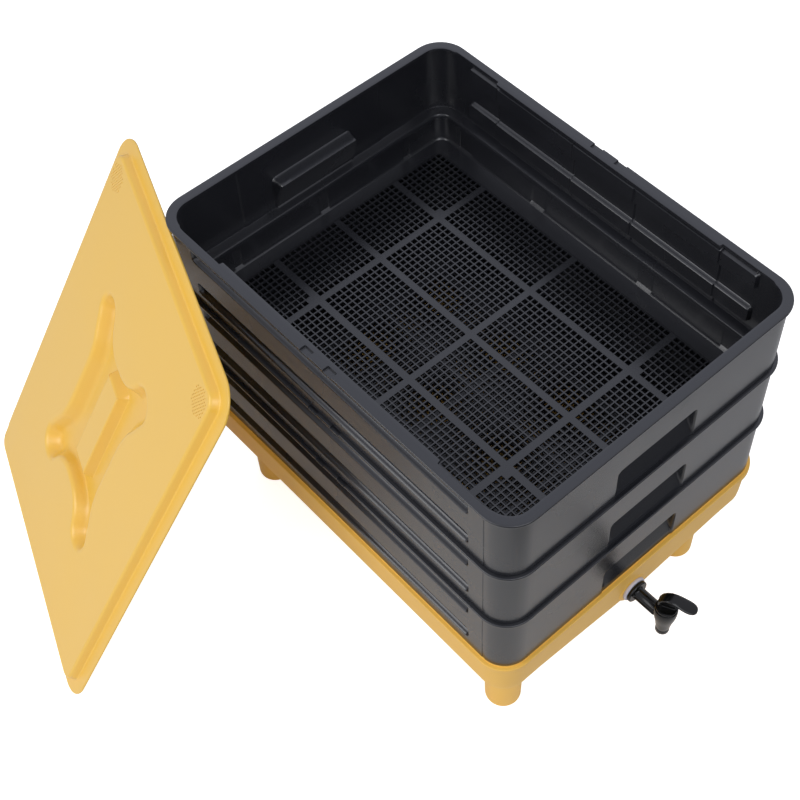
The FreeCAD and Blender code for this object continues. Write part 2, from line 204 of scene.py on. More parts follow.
def outline(half_x, half_y, radius, ys, xs, arc=12):
    """Columns round a rounded rectangle, with their outward directions."""
    cols = []
    cx, cy = half_x - radius, half_y - radius

    def corner(sx, sy, start):
        for i in range(1, arc):
            a = start + math.pi / 2 * i / arc
            c, s = math.cos(a), math.sin(a)
            cols.append(Column(sx * cx + radius * c, sy * cy + radius * s, c, s))

    for y in ys:
        cols.append(Column(half_x, y, 1, 0, "+x", y))
    corner(1, 1, 0)
    for x in reversed(xs):
        cols.append(Column(x, half_y, 0, 1, "+y", x))
    corner(-1, 1, math.pi / 2)
    for y in reversed(ys):
        cols.append(Column(-half_x, y, -1, 0, "-x", y))
    corner(-1, -1, math.pi)
    for x in xs:
        cols.append(Column(x, -half_y, 0, -1, "-y", x))
    corner(1, -1, 1.5 * math.pi)
    return cols


def loop_at(cols, inset):
    return [(col.x - col.nx * inset, col.y - col.ny * inset) for col in cols]


def inset_place(col, row):
    inset, z = row
    return (col.x - col.nx * inset, col.y - col.ny * inset, z)


def band(cols, rows, place):
    """A closed skin round the columns; place(col, row) gives a point."""
    verts, faces = [], []
    n, m = len(cols), len(rows)
    for col in cols:
        for row in rows:
            verts.append(place(col, row))
    for i in range(n):
        j = (i + 1) % n
        for k in range(m - 1):
            faces.append((i * m + k, j * m + k, j * m + k + 1, i * m + k + 1))
    return verts, faces


def fill(outer, holes, z):
    """A flat face inside a loop, less the holes, as triangles."""
    loops = [[Vector((x, y, 0)) for x, y in loop] for loop in [outer] + holes]
    verts = [(p.x, p.y, z) for loop in loops for p in loop]
    return verts, [tuple(face) for face in tessellate_polygon(loops)]


def lathe(profile, centre, axis):
    """Turned body: profile of (radius, height) along the axis."""
    turn = [2 * math.pi * i / ROUND_STEPS for i in range(ROUND_STEPS)]

    def place(angle, row):
        r, h = row
        x = centre[0] + r * math.cos(angle)
        if axis == "z":
            return (x, centre[1] + r * math.sin(angle), h)
        return (x, h, centre[2] + r * math.sin(angle))

    return band(turn, profile, place)


def slab(x0, x1, y0, y1, z0, z1, bevel):
    """Small rounded block."""
    bm = bmesh.new()
    bmesh.ops.create_cube(bm, size=1.0)
    for v in bm.verts:
        x, y, z = v.co
        v.co = Vector(((x0 + x1) / 2 + x * (x1 - x0), (y0 + y1) / 2 + y * (y1 - y0),
                       (z0 + z1) / 2 + z * (z1 - z0)))
    bmesh.ops.bevel(bm, geom=list(bm.edges), offset=bevel, segments=3, profile=0.5, affect="EDGES")
    verts = [tuple(v.co) for v in bm.verts]
    index = {v: i for i, v in enumerate(bm.verts)}
    faces = [tuple(index[v] for v in f.verts) for f in bm.faces]
    bm.free()
    return verts, faces


def join(parts):
    verts, faces = [], []
    for part_verts, part_faces in parts:
        first = len(verts)
        verts += part_verts
        faces += [tuple(i + first for i in face) for face in part_faces]
    return verts, faces


def make_object(name, skin, material, sharp=32):
    """A piece from vertices and faces in millimetres; edges over the angle sharp stay sharp."""
    verts, faces = skin
    mesh = bpy.data.meshes.new(name)
    mesh.from_pydata([(x * MM, y * MM, z * MM) for x, y, z in verts], [], faces)
    bm = bmesh.new()
    bm.from_mesh(mesh)
    bmesh.ops.remove_doubles(bm, verts=bm.verts, dist=1e-6)
    bmesh.ops.recalc_face_normals(bm, faces=bm.faces)
    bm.to_mesh(mesh)
    bm.free()
    mesh.shade_smooth()
    mesh.set_sharp_from_angle(angle=math.radians(sharp))
    mesh.materials.append(material)
    obj = bpy.data.objects.new(name, mesh)
    bpy.context.collection.objects.link(obj)
    return obj


# Materials

def noise(tree, place, scale, detail):
    node = tree.nodes.new("ShaderNodeTexNoise")
    node.inputs["Scale"].default_value = scale
    node.inputs["Detail"].default_value = detail
    tree.links.new(place, node.inputs["Vector"])
    return node.outputs["Fac"]


def map_range(tree, value, source, target, kind="LINEAR"):
    """Turns the range source of a value into the range target."""
    node = tree.nodes.new("ShaderNodeMapRange")
    node.interpolation_type = kind
    node.inputs["From Min"].default_value, node.inputs["From Max"].default_value = source
    node.inputs["To Min"].default_value, node.inputs["To Max"].default_value = target
    tree.links.new(value, node.inputs["Value"])
    return node.outputs["Result"]


def mix_colours(tree, factor, first, second):
    node = tree.nodes.new("ShaderNodeMix")
    node.data_type = "RGBA"
    node.inputs["A"].default_value = (*first, 1)
    node.inputs["B"].default_value = (*second, 1)
    tree.links.new(factor, node.inputs["Factor"])
    return node.outputs["Result"]


def plastic(name, colour, rough, bump=0.05, grain=900.0, vary=0.05, coat=0.0, shine=0.5):
    """Moulded plastic: broad changes of colour and gloss, and a fine grain."""
    mat = bpy.data.materials.new(name)
    mat.use_nodes = True
    tree = mat.node_tree
    shader = tree.nodes["Principled BSDF"]
    place = tree.nodes.new("ShaderNodeTexCoord").outputs["Object"]
    broad = noise(tree, place, 7.0, 5.0)
    darker = [c * (1 - vary) for c in colour]
    lighter = [min(1.0, c * (1 + vary)) for c in colour]
    tree.links.new(mix_colours(tree, broad, darker, lighter), shader.inputs["Base Color"])
    gloss = map_range(tree, broad, (0.3, 0.7), (rough - 0.04, rough + 0.04))
    tree.links.new(gloss, shader.inputs["Roughness"])
    relief = tree.nodes.new("ShaderNodeBump")
    relief.inputs["Strength"].default_value = bump
    relief.inputs["Distance"].default_value = 0.0004
    tree.links.new(noise(tree, place, grain, 3.0), relief.inputs["Height"])
    tree.links.new(relief.outputs["Normal"], shader.inputs["Normal"])
    shader.inputs["Specular IOR Level"].default_value = shine
    shader.inputs["Coat Weight"].default_value = coat
    shader.inputs["Coat Roughness"].default_value = rough * 0.8
    return mat


tray_plastic = plastic("tray_plastic", (0.0125, 0.0130, 0.0160), 0.27, coat=0.2)
lid_plastic = plastic("lid_plastic", (0.83, 0.50, 0.062), 0.38, grain=700.0, vary=0.02, coat=0.45)
base_plastic = plastic("base_plastic", (0.86, 0.50, 0.085), 0.40, grain=700.0, vary=0.02)
tap_plastic = plastic("tap_plastic", (0.005, 0.005, 0.0045), 0.16, bump=0.02, shine=0.3)
seal_rubber = plastic("seal_rubber", (0.62, 0.61, 0.70), 0.55, bump=0.10)


# Trays

def rim_width(col):
    """Width of the rim's flange, which steps near the ends of the long sides."""
    if col.side not in LONG_SIDES:
        return RIM_SHORT_W
    y = abs(col.along)
    end = RIM_END_W + (RIM_SHORT_W - RIM_END_W) * smooth(*RIM_CORNER_Y, y)
    return RIM_LONG_W + (end - RIM_LONG_W) * smooth(RIM_STEP_Y, RIM_STEP_Y + 1.2, y)


def groove(y, z, grow):
    """How far a groove is pressed in at this place on a long wall, 0 to 1."""
    deep = 0.0
    mid, half = (GROOVE_Y[0] + GROOVE_Y[1]) / 2, (GROOVE_Y[1] - GROOVE_Y[0]) / 2
    for low, high in GROOVES:
        d = box_distance(y, z, mid, (low + high) / 2, half + grow, (high - low) / 2 + grow, GROOVE_R)
        deep = max(deep, fade(-2.2, 0.2, d))
    return deep


def grip(x, z, grow):
    """1 inside the finger recess of a short wall, with soft sides."""
    middle = GRIP_TOP - GRIP_REACH + grow
    d = box_distance(x, z, 0.0, middle, GRIP_HALF + grow, GRIP_REACH, GRIP_R)
    return fade(-3.6, 0.3, d)


def grip_back(z, skin):
    """The back of the recess is deepest under its top and comes out to the wall at its foot."""
    part = min(max((z - SHELF) / (GRIP_TOP - SHELF), 0.0), 1.0)
    return GRIP_FOOT + skin + (GRIP_BACK - GRIP_FOOT) * part


def vent(x, z):
    """1 inside a tiny hole under the rim of a short wall."""
    x = abs(x)
    if not VENT_X[0] < x < VENT_X[1] or not VENT_Z[0] < z < VENT_Z[1]:
        return 0.0
    nearest = math.inf
    for row, row_z in enumerate(VENT_ROWS_Z):
        first = VENT_FIRST_X + VENT_STEP / 2 * row
        n = min(max(round((x - first) / VENT_STEP), 0), VENT_COUNT - 1)
        nearest = min(nearest, math.hypot(x - first - VENT_STEP * n, z - row_z))
    return fade(0.45, 1.0, nearest)


def wall_out(col, z):
    """Inset of the outside of a wall."""
    inset = WALL_OUT - WALL_LEAN * z / PITCH
    if col.side in LONG_SIDES:
        inset += GROOVE_DEEP * groove(col.along, z, 0.0)
        inset += SEAM_DEEP * fade(0.25, 0.7, abs(abs(col.along) - SEAM_Y))
    elif col.side in SHORT_SIDES:
        inset += (grip_back(z, 0.0) - inset) * grip(col.along, z, 0.0)
        inset += VENT_DEEP * vent(col.along, z)
    return inset


def wall_in(col, z):
    """Inset of the inside of a wall, with its steps and upright lines."""
    inset = WALL_IN - WALL_LEAN * z / PITCH
    along = abs(col.along)
    if col.side in LONG_SIDES:
        inset += GROOVE_DEEP * groove(col.along, z, GROOVE_SKIN)
        for line, step in zip(WALL_LINES_Y, WALL_STEPS):
            inset += step * fade(line - 1, line + 1, along)
            inset -= LINE_DEEP * fade(0.3, 1.3, abs(along - line))
    elif col.side in SHORT_SIDES:
        inset += (grip_back(z, GRIP_SKIN) - inset) * grip(col.along, z, 2.0)
        inset += END_PANEL_STEP * fade(END_PANEL_X - 1, END_PANEL_X + 1, along)
    return inset


def rim_drop(col, inset):
    """How deep the pockets of the long rims are here."""
    if col.side not in LONG_SIDES:
        return 0.0
    pocket = max(within(y0, y1, col.along, 0.3, 0.5) for y0, y1 in RIM_POCKETS)
    return RIM_POCKET_DEEP * pocket * fade(7.0, 7.8, inset)


def step_pocket(col):
    """1 inside a shallow pocket under the step."""
    if col.side == "corner":
        return 0.0
    spans = STEP_POCKETS_Y if col.side in LONG_SIDES else STEP_POCKETS_X
    return max(within(start, end, abs(col.along), 0.4, 0.4) for start, end in spans)


def tray_profile():
    """Rows from the mesh's edge underneath, round the outside and rim, to its edge inside.

    A row is a kind, an inset and a height. The kinds are: hole, the edge of the mesh; at, a plain
    inset; low, the same with the step's pockets; under and foot, further in than the wall; out and
    in, the wall itself; top, the rim with its pockets; edge, outward from the rim's inner edge.
    """
    spigot = [("hole", 0, TRAY_BOTTOM), ("at", SPIGOT + 3.2, TRAY_BOTTOM),
              ("at", SPIGOT + 1.6, TRAY_BOTTOM + 0.5), ("at", SPIGOT + 0.6, TRAY_BOTTOM + 1.6),
              ("at", SPIGOT + 0.2, TRAY_BOTTOM + 3.2), ("at", SPIGOT, SHELF - 1.0),
              ("at", SPIGOT - 0.4, SHELF - 0.05)]
    step = [("under", 3.0, SHELF), ("under", 2.6, SHELF + 0.5), ("under", 0.4, SHELF + 0.5),
            ("under", 0.05, SHELF + 0.65)]
    # closer rows at the grooves' edges, the tiny holes and the top of the recess
    heights = stations(WALL_FOOT, -RIM_T - 0.4, 6.0,
                       [(-10.5, 2.6, 0.7), (-7.0, 4.0, 0.75), (-27.5, 3.2, 0.7), (-48.0, 4.4, 0.7),
                        (-61.0, 3.2, 0.7), (-79.0, 3.2, 0.7)])
    outside = [("out", 0, z) for z in heights]
    rim = [("at", 2.4, -RIM_T), ("at", 0.5, -RIM_T + 0.02), ("at", 0.1, -RIM_T + 0.4),
           ("at", 0.0, -RIM_T + 0.9), ("top", 0.0, -1.2), ("top", 0.2, -0.45), ("top", 0.55, -0.12)]
    rim += [("top", inset, 0.0) for inset in (1.1, 3.4, 6.0, 7.0, 7.4, 7.8, 8.3)]
    rim += [("edge", 0.7, 0.0), ("edge", 0.2, -0.25), ("edge", 0.0, -0.8),
            ("edge", 0.0, -RIM_T + 0.3), ("edge", 0.2, -RIM_T)]
    inside = [("in", 0, z) for z in reversed(heights[3:])] + [("in", 0, SHELF + 4.6)]
    ledge = [("foot", 0.9, SHELF + 3.0), ("foot", 2.0, SHELF + 2.6), ("at", SPIGOT - 1.6, SHELF + 2.5),
             ("at", SPIGOT + 0.6, SHELF + 1.9), ("at", SPIGOT + 1.8, SHELF + 0.2),
             ("at", SPIGOT + 2.4, SHELF - 2.4), ("low", SPIGOT + 2.4, SHELF - 5.5),
             ("low", SPIGOT + 2.5, TRAY_FLOOR + 4.0), ("at", SPIGOT + 4.0, TRAY_FLOOR + 1.6),
             ("at", SPIGOT + 5.0, TRAY_FLOOR + 0.3), ("at", SPIGOT + 7.0, TRAY_FLOOR),
             ("hole", 0, TRAY_FLOOR)]
    return spigot + step + outside + rim + inside + ledge


def openings(ribs, cells):
    """Low and high edge of every cell of the mesh along one direction."""
    spans = []
    edges = [-ribs[2] - RIB_HALF - cells[0] * CELL + BAR] + [rib + RIB_HALF for rib in ribs]
    for start, count in zip(edges, cells):
        spans += [(start + i * CELL, start + (i + 1) * CELL - BAR) for i in range(count)]
    return spans


OPEN_X, OPEN_Y = openings(RIBS_X, CELLS_X), openings(RIBS_Y, CELLS_Y)
MESH_X, MESH_Y = OPEN_X[-1][1] + 1.0, OPEN_Y[-1][1] + 1.0


def tray_skin():
    """The tray without its mesh."""
    ys = stations(-STRAIGHT_Y, STRAIGHT_Y, 7.0,
                  [(end, 8, 1.0) for end in GROOVE_Y]
                  + both_sides([WALL_LINES_Y[1]], 2.5, 0.6)
                  + both_sides([SEAM_Y], 1.2, 0.3)
                  + both_sides([WALL_LINES_Y[0]], 2.5, 0.8)
                  + [(edge, 1.0, 0.3) for pocket in RIM_POCKETS for edge in pocket]
                  + both_sides([edge for pocket in STEP_POCKETS_Y for edge in pocket], 0.6, 0.4))
    xs = stations(-STRAIGHT_X, STRAIGHT_X, 7.0,
                  both_sides([GRIP_HALF + 0.5], 4.5, 0.7)
                  + both_sides([END_PANEL_X], 2.4, 0.8)
                  + both_sides([STEP_POCKETS_X[0][1]], 0.6, 0.4)
                  + both_sides([sum(VENT_X) / 2], 18, 0.6))

    def place(col, row):
        kind, inset, z = row
        if kind == "hole":
            return (min(max(col.x, -MESH_X), MESH_X), min(max(col.y, -MESH_Y), MESH_Y), z)
        if kind == "low":
            inset -= STEP_POCKET_DEEP * step_pocket(col)
        elif kind == "under":
            inset = min(wall_out(col, WALL_FOOT) + inset, SPIGOT - 0.6)
        elif kind == "out":
            inset = wall_out(col, z)
        elif kind == "top":
            z -= rim_drop(col, inset)
        elif kind == "edge":
            inset = rim_width(col) - inset
        elif kind == "in":
            inset = wall_in(col, z)
        elif kind == "foot":
            inset = min(wall_in(col, SHELF + 5.0) + inset, SPIGOT + 0.4)
        return (col.x - col.nx * inset, col.y - col.ny * inset, z)

    return band(outline(HALF_X, HALF_Y, RIM_R, ys, xs), tray_profile(), place)


def mesh_floor():
    """The fine mesh of the floor with its wide ribs."""
    xs = [-MESH_X - 0.5] + [x for span in OPEN_X for x in span] + [MESH_X + 0.5]
    ys = [-MESH_Y - 0.5] + [y for span in OPEN_Y for y in span] + [MESH_Y + 0.5]
    nx, ny = len(xs), len(ys)
    verts = [(x, y, z) for z in (TRAY_BOTTOM, TRAY_FLOOR) for x in xs for y in ys]

    def at(level, i, j):
        return level * nx * ny + i * ny + j

    def is_open(i, j):
        x, y = abs(xs[i] + xs[i + 1]) / 2, abs(ys[j] + ys[j + 1]) / 2
        closed = CLOSED_X[0] < x < CLOSED_X[1] and CLOSED_Y[0] < y < CLOSED_Y[1]
        return i % 2 == 1 and j % 2 == 1 and not closed

    fields = [(i, j) for i in range(nx - 1) for j in range(ny - 1)]
    faces = []
    for i, j in fields:
        if not is_open(i, j):
            faces.append((at(1, i, j), at(1, i + 1, j), at(1, i + 1, j + 1), at(1, i, j + 1)))
            faces.append((at(0, i, j), at(0, i, j + 1), at(0, i + 1, j + 1), at(0, i + 1, j)))
    for i, j in fields:
        if is_open(i, j):
            ring = [(i, j), (i + 1, j), (i + 1, j + 1), (i, j + 1)]
            for a, b in zip(ring, ring[1:] + ring[:1]):
                faces.append((at(0, *a), at(0, *b), at(1, *b), at(1, *a)))
    return verts, faces


def make_trays():
    """Three like trays: the lower two use the meshes of the top one."""
    top = {"shell": make_object("tray_%d_shell" % TRAY_COUNT, tray_skin(), tray_plastic),
           "mesh": make_object("tray_%d_mesh" % TRAY_COUNT, mesh_floor(), tray_plastic, sharp=30)}
    for level in range(TRAY_COUNT, 0, -1):
        node = "tray_%d" % level
        for part, first in top.items():
            piece = first
            if level < TRAY_COUNT:
                piece = bpy.data.objects.new("%s_%s" % (node, part), first.data)
                bpy.context.collection.objects.link(piece)
            piece.location.z = (LEDGE_Z + level * PITCH) * MM
            bpy.context.view_layer.update()
            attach(piece, node)
            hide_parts(node)


make_trays()


# Base and legs

def sag(x, y):
    """How far the floor of the sump dips towards the tap, in a shallow valley."""
    part = 1 - abs(x) / SAG_HALF - (y - FRONT_Y) / (SAG_BACK - FRONT_Y)
    return SAG_DEPTH * max(part, 0.0)


def base_profile():
    """Rows from the middle of the underside, round the outside, to the middle of the floor.

    A row is a kind, an inset and a height. The kinds are: panel, the edge of the flat middle;
    floor and foot, heights over the base's bottom that dip with the sump; wall, the leaning wall;
    at, a plain inset; seat, where the bottom tray stands; edge, the flange's inner edge.
    """
    foot = BASE_FOOT_INSET + BASE_EDGE
    rows = [("panel", 0, 0.0), ("floor", foot, 0.0)]
    for i in range(1, 7):
        a = math.pi / 2 * i / 6
        rows.append(("foot", foot - BASE_EDGE * math.sin(a), BASE_EDGE - BASE_EDGE * math.cos(a)))
    rows += [("wall", 0, z) for z in (140, 148, 158, 168, 178.4)]
    low = BASE_RIM - BASE_BAND
    rows += [("at", 2.5, low - 0.3), ("at", 0.8, low), ("at", 0.2, low + 0.3), ("at", 0.0, low + 0.9),
             ("at", 0.0, BASE_RIM - 1.1), ("at", 0.12, BASE_RIM - 0.5), ("at", 0.5, BASE_RIM - 0.12),
             ("at", 1.1, BASE_RIM), ("at", 3.5, BASE_RIM), ("seat", 0.0, BASE_RIM),
             ("seat", 0.15, BASE_RIM + 0.3), ("seat", 0.2, LEDGE_Z - 0.4), ("seat", 0.5, LEDGE_Z),
             ("edge", 0.4, LEDGE_Z), ("edge", 0.0, LEDGE_Z - 0.5), ("edge", 0.0, LEDGE_Z - RIM_T)]
    rows += [("at", BASE_IN, z) for z in (183.0, 160.0, 136.0)]
    rows += [("floor", 10.5, BASE_FLOOR_T + 0.4), ("panel", 0, BASE_FLOOR_T)]
    return rows


def base_skin():
    ys = stations(-STRAIGHT_Y, STRAIGHT_Y, 9.0)
    xs = stations(-STRAIGHT_X, STRAIGHT_X, 7.0, both_sides([SEAT_HALF + 2], 2.5, 0.8))

    def place(col, row):
        kind, inset, z = row
        if kind == "wall":
            part = (z - BASE_BOTTOM) / BASE_WALL_H
            inset = BASE_FOOT_INSET - (BASE_FOOT_INSET - BASE_TOP_INSET) * part
        elif kind == "seat":
            inset += SEAT
            if col.side in SHORT_SIDES and abs(col.along) < SEAT_HALF:
                inset = min(inset + SEAT_STEP, SEAT_MOST)
        elif kind == "edge":
            inset = rim_width(col) - inset
        x, y = col.x - col.nx * inset, col.y - col.ny * inset
        if kind == "panel":
            x, y = min(max(col.x, -FLOOR_X), FLOOR_X), min(max(col.y, -FLOOR_Y), FLOOR_Y)
        if kind in ("panel", "floor"):
            z += BASE_BOTTOM - sag(x, y)
        elif kind == "foot":
            z += BASE_BOTTOM - sag(x, y) * (1 - z / (3 * BASE_EDGE))
        return (x, y, z)

    return band(outline(HALF_X, HALF_Y, RIM_R, ys, xs), base_profile(), place)


def base_panel(height, upward):
    """The middle of the base's underside or floor, which dips with the sump."""
    xs, ys = stations(-FLOOR_X, FLOOR_X, 8.0), stations(-FLOOR_Y, FLOOR_Y, 12.0)
    verts = [(x, y, BASE_BOTTOM + height - sag(x, y)) for x in xs for y in ys]
    faces = []
    n = len(ys)
    for i in range(len(xs) - 1):
        for j in range(n - 1):
            quad = (i * n + j, (i + 1) * n + j, (i + 1) * n + j + 1, i * n + j + 1)
            faces.append(quad if upward else quad[::-1])
    return verts, faces


def make_base():
    pad = [(0, PAD_Y + 8.6), (22.0, PAD_Y + 8.6), (20.0, PAD_Y + 1.6), (19.0, PAD_Y + 0.4),
           (18.2, PAD_Y), (0, PAD_Y)]
    skin = join([base_skin(), base_panel(0.0, False), base_panel(BASE_FLOOR_T, True),
                 lathe(pad, (0, 0, TAP_Z), "y")])
    base = make_object("base_tray", skin, base_plastic)
    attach(base, "base")
    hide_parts("base")


def leg_profile():
    profile = [(0.0, 0.0), (LEG_FOOT_R, 0.0)]
    for i in range(1, 7):
        a = math.pi / 2 * i / 6
        profile.append((LEG_FOOT_R + LEG_EDGE * math.sin(a), LEG_EDGE - LEG_EDGE * math.cos(a)))
    return profile + [(20.9, 20.0), (21.4, 60.0), (21.5, 118.0), (21.5, BASE_BOTTOM + 0.5)]


def make_legs():
    for end, sy in (("front", -1), ("rear", 1)):
        for side, sx in (("left", -1), ("right", 1)):
            node = "leg_%s_%s" % (end, side)
            skin = lathe(leg_profile(), (sx * LEG_X, sy * LEG_Y, 0), "z")
            leg = make_object(node + "_skin", skin, base_plastic)
            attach(leg, "base")
            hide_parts(node)


make_base()
make_legs()


# Lid

def grasp_distance(u, v):
    """Signed distance to the hollow in the lid: a block with four round-ended arms."""
    u, v = u - GRASP_AT[0], v - GRASP_AT[1]
    block = box_distance(u, v, 0, 0, GRASP_U, GRASP_V, GRASP_R)
    u, v = abs(u), abs(v)
    arm_u, arm_v = ARM_TO[0] - ARM_FROM[0], ARM_TO[1] - ARM_FROM[1]
    from_u, from_v = u - ARM_FROM[0], v - ARM_FROM[1]
    part = (from_u * arm_u + from_v * arm_v) / (arm_u * arm_u + arm_v * arm_v)
    part = min(max(part, 0.0), 1.0)
    arm = math.hypot(from_u - arm_u * part, from_v - arm_v * part) - ARM_R
    soft = 12.0 + 14.0 * smooth(60.0, 90.0, v)
    mix = max(soft - abs(block - arm), 0.0) / soft
    return min(block, arm) - mix * mix * soft / 4


def trace(distance, step):
    """Columns round the zero line of a distance field, walked until they are back at the first."""
    def slope(u, v):
        e = 0.05
        du = distance(u + e, v) - distance(u - e, v)
        dv = distance(u, v + e) - distance(u, v - e)
        return du / (2 * e), dv / (2 * e)

    found = []
    u, v = GRASP_U, 0.0
    while len(found) < 20 or math.hypot(u - found[0].x, v - found[0].y) > step * 0.8:
        for _ in range(4):
            du, dv = slope(u, v)
            size = du * du + dv * dv
            d = distance(u, v)
            u, v = u - d * du / size, v - d * dv / size
        size = math.hypot(*slope(u, v))
        du, dv = [part / size for part in slope(u, v)]
        found.append(Column(u, v, du, dv))
        u, v = u - dv * step, v + du * step
    return found


def vent_patch(centre_u, centre_v):
    """A patch of the lid with a round cluster of tiny holes; gives its outline and its mesh."""
    wide, tall, radius, deep, rows, corners = 3.6, 3.1, 0.8, 0.9, 5, 8
    verts, faces, right, left = [], [], [], []
    for row in range(-rows, rows + 1):
        v = row * tall
        shift = wide / 2 if row % 2 else 0.0
        places = [column * wide + shift for column in range(-rows, rows + 1)]
        places = [u for u in places if math.hypot(u, v) < LID_VENT_R]
        for u in places:
            first = len(verts)
            for level in range(3):
                z = RISE - deep if level == 2 else RISE
                for k in range(corners):
                    c, s = math.cos(k * math.pi / 4), math.sin(k * math.pi / 4)
                    x, y = radius * c, radius * s
                    if level == 0:
                        # corners of the hole's cell and middles of its sides
                        x, y = wide / 2 * round(1.2 * c), tall / 2 * round(1.2 * s)
                    verts.append((centre_u + u + x, centre_v + v + y, z))
            for low in (first, first + corners):
                for k in range(corners):
                    n = (k + 1) % corners
                    faces.append((low + k, low + n, low + corners + n, low + corners + k))
            faces.append(tuple(first + 2 * corners + k for k in range(corners)))
        right += [(places[-1] + wide / 2, v - tall / 2), (places[-1] + wide / 2, v + tall / 2)]
        left += [(places[0] - wide / 2, v - tall / 2), (places[0] - wide / 2, v + tall / 2)]
    border = [(centre_u + u, centre_v + v) for u, v in right + left[::-1]]
    border = [p for k, p in enumerate(border) if math.dist(p, border[k - 1]) > 1e-6]
    return border, (verts, faces)


def bar_place(col, row):
    """The ends of the grip bar slope more than its sides."""
    inset, z = row
    u = col.x - col.nx * inset + GRASP_AT[0]
    v = col.y - col.ny * inset * BAR_END_SLOPE + GRASP_AT[1]
    return (u, v, z)


def bar_loop(cols, inset):
    return [bar_place(col, (inset, 0.0))[:2] for col in cols]


def hollow_place(col, row):
    """The side walls of the hollow slope, and its ends between the arms stand steep."""
    out, deep = row
    if out < 0:
        end = smooth(0.6, 0.95, abs(col.ny)) * fade(34.0, 52.0, abs(col.x - GRASP_AT[0]))
        out *= 1 - 0.62 * end
    return (col.x + col.nx * out, col.y + col.ny * out, RISE - deep)


def lid_skin():
    """Upper side of the lid and its edge."""
    cols = outline(HALF_X, HALF_Y, RIM_R, stations(-STRAIGHT_Y, STRAIGHT_Y, 20.0),
                   stations(-STRAIGHT_X, STRAIGHT_X, 20.0), 16)
    inner = BORDER + LID_T
    rows = [(UNDER_INSET, RISE - LID_T), (inner + DRAFT + 2.0, RISE - LID_T),
            (inner + DRAFT, RISE - LID_T - 1.0), (inner, -LID_T + 0.3), (inner - 0.3, -LID_T),
            (0.9, -LID_T), (0.25, -LID_T + 0.25), (0.0, -LID_T + 0.9), (0.0, -0.9), (0.25, -0.25),
            (0.9, 0.0), (2.5, 0.0), (15.0, 0.0), (15.9, 0.12), (16.6, 0.5), (17.1, 1.2), (17.4, 2.2),
            (19.0, 7.4), (19.5, 8.5), (20.3, 9.35), (21.2, 9.85), (22.2, RISE), (PANEL_INSET, RISE)]
    parts = [band(cols, rows, inset_place)]

    edge = trace(grasp_distance, 2.2)
    hollow = [(7.0, 0.0), (5.0, 0.0), (3.2, 0.3), (1.6, 1.1), (0.3, 2.4), (-0.8, 4.0), (-5.0, 10.0),
              (-6.6, 12.1), (-8.6, 13.9), (-11.0, 15.0), (-13.4, 15.45), (-15.5, GRASP_DEEP)]
    parts.append(band(edge, hollow, hollow_place))
    rim_loop = [hollow_place(col, hollow[0])[:2] for col in edge]
    floor_loop = [hollow_place(col, hollow[-1])[:2] for col in edge]

    patches = [vent_patch(side * LID_VENT_U, LID_VENT_V) for side in (-1, 1)]
    parts += [mesh for _, mesh in patches]
    openings_in_panel = [rim_loop] + [border for border, _ in patches]
    parts.append(fill(loop_at(cols, PANEL_INSET), openings_in_panel, RISE))
    parts.append(fill(floor_loop, [], LID_FLOOR))

    bar_cols = outline(BAR_U, BAR_V, BAR_R, [-40.0, 0.0, 40.0], [-6.0, 6.0], 6)
    bar_top = RISE - BAR_DROP
    bar = [(-1.6, LID_FLOOR + 0.02), (-0.4, LID_FLOOR + 0.15), (0.4, LID_FLOOR + 0.9),
           (4.3, bar_top - 2.0), (4.8, bar_top - 1.0), (5.5, bar_top - 0.3), (6.4, bar_top),
           (7.0, bar_top)]
    parts.append(band(bar_cols, bar, bar_place))
    parts.append(fill(bar_loop(bar_cols, 7.0), [], bar_top))
    return join(parts)


def lid_under():
    """The lid seen from below: the same forms one wall lower, and the locating rib."""
    cols = outline(HALF_X, HALF_Y, RIM_R, [-STRAIGHT_Y, STRAIGHT_Y], [-STRAIGHT_X, STRAIGHT_X], 16)
    ceiling, floor_z = RISE - LID_T, LID_FLOOR - LID_T
    edge = trace(grasp_distance, 4.0)
    hollow = [(9.0, 0.0), (6.6, 0.2), (4.4, 1.6), (2.4, 4.6), (-2.0, 11.2), (-4.0, 13.8), (-6.5, 15.2),
              (-9.0, GRASP_DEEP)]
    parts = [band(edge, [(-out, ceiling - deep) for out, deep in hollow], inset_place)]
    parts.append(fill(loop_at(cols, UNDER_INSET), [loop_at(edge, -9.0)], ceiling))

    bar_cols = outline(BAR_U, BAR_V, BAR_R, [-40.0, 40.0], [-6.0, 6.0], 6)
    bar_top = ceiling - BAR_DROP
    bar = [(-0.4, floor_z), (1.4, floor_z + 0.4), (2.4, floor_z + 2.0), (6.0, bar_top - 1.0),
           (7.0, bar_top)]
    parts.append(band(bar_cols, bar, bar_place))
    parts.append(fill(bar_loop(bar_cols, 7.0), [], bar_top))
    parts.append(fill(loop_at(edge, 9.0), [bar_loop(bar_cols, -0.4)], floor_z))

    foot, inner = -LID_T - RIB_H, RIB_INSET + RIB_T
    rib = [(RIB_INSET, -LID_T + 0.3), (RIB_INSET, foot + 0.4), (RIB_INSET + 0.4, foot),
           (inner - 0.4, foot), (inner, foot + 0.4), (inner, -LID_T + 0.3)]
    parts.append(band(cols, rib, inset_place))
    return join(parts)


